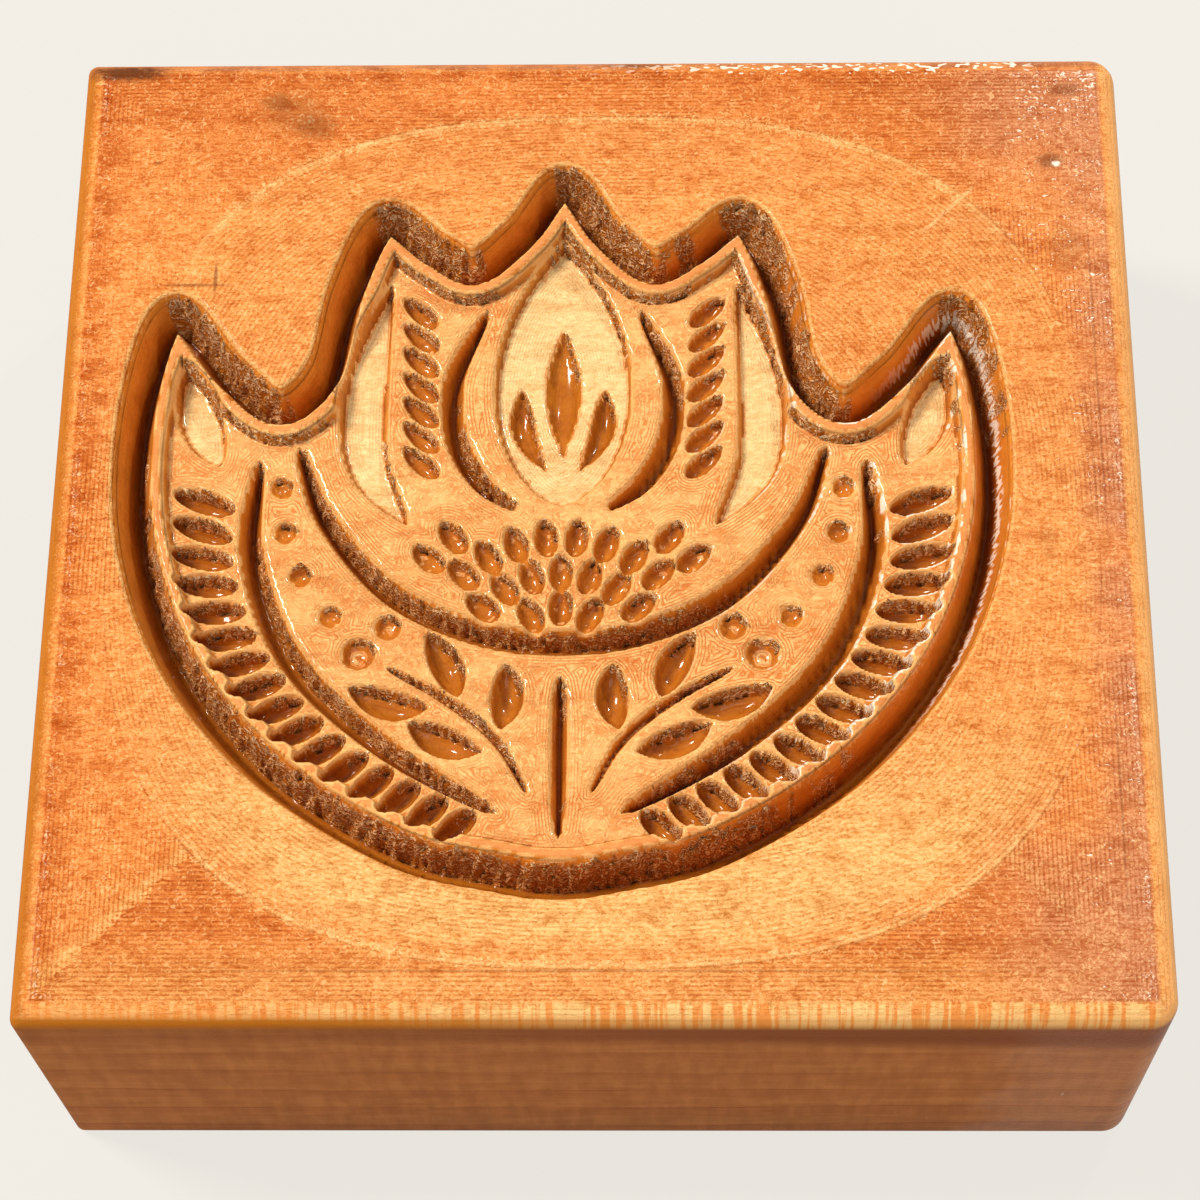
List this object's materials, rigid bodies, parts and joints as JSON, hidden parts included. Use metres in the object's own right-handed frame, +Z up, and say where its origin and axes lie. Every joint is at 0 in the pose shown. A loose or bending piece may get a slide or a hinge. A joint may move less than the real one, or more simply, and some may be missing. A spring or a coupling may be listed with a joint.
{
  "type": "tile stamp",
  "caption": "Thick square hardwood block with a folk flower carved deep into its top face, for pressing a raised relief into clay tiles or dough.",
  "frame": {"origin": "centre of the block's flat underside, halfway along its width and depth", "axes": "+X to the right along the grain, +Y to the back (the side that the flower's petals point to), +Z up out of the carved face"},
  "size_m": [0.09, 0.0874, 0.033],
  "materials": {
    "oiled_hardwood": "oiled, closed grain, satin"
  },
  "bodies": {
    "root": {"stamp_block": "oiled_hardwood"}
  },
  "joints": []
}
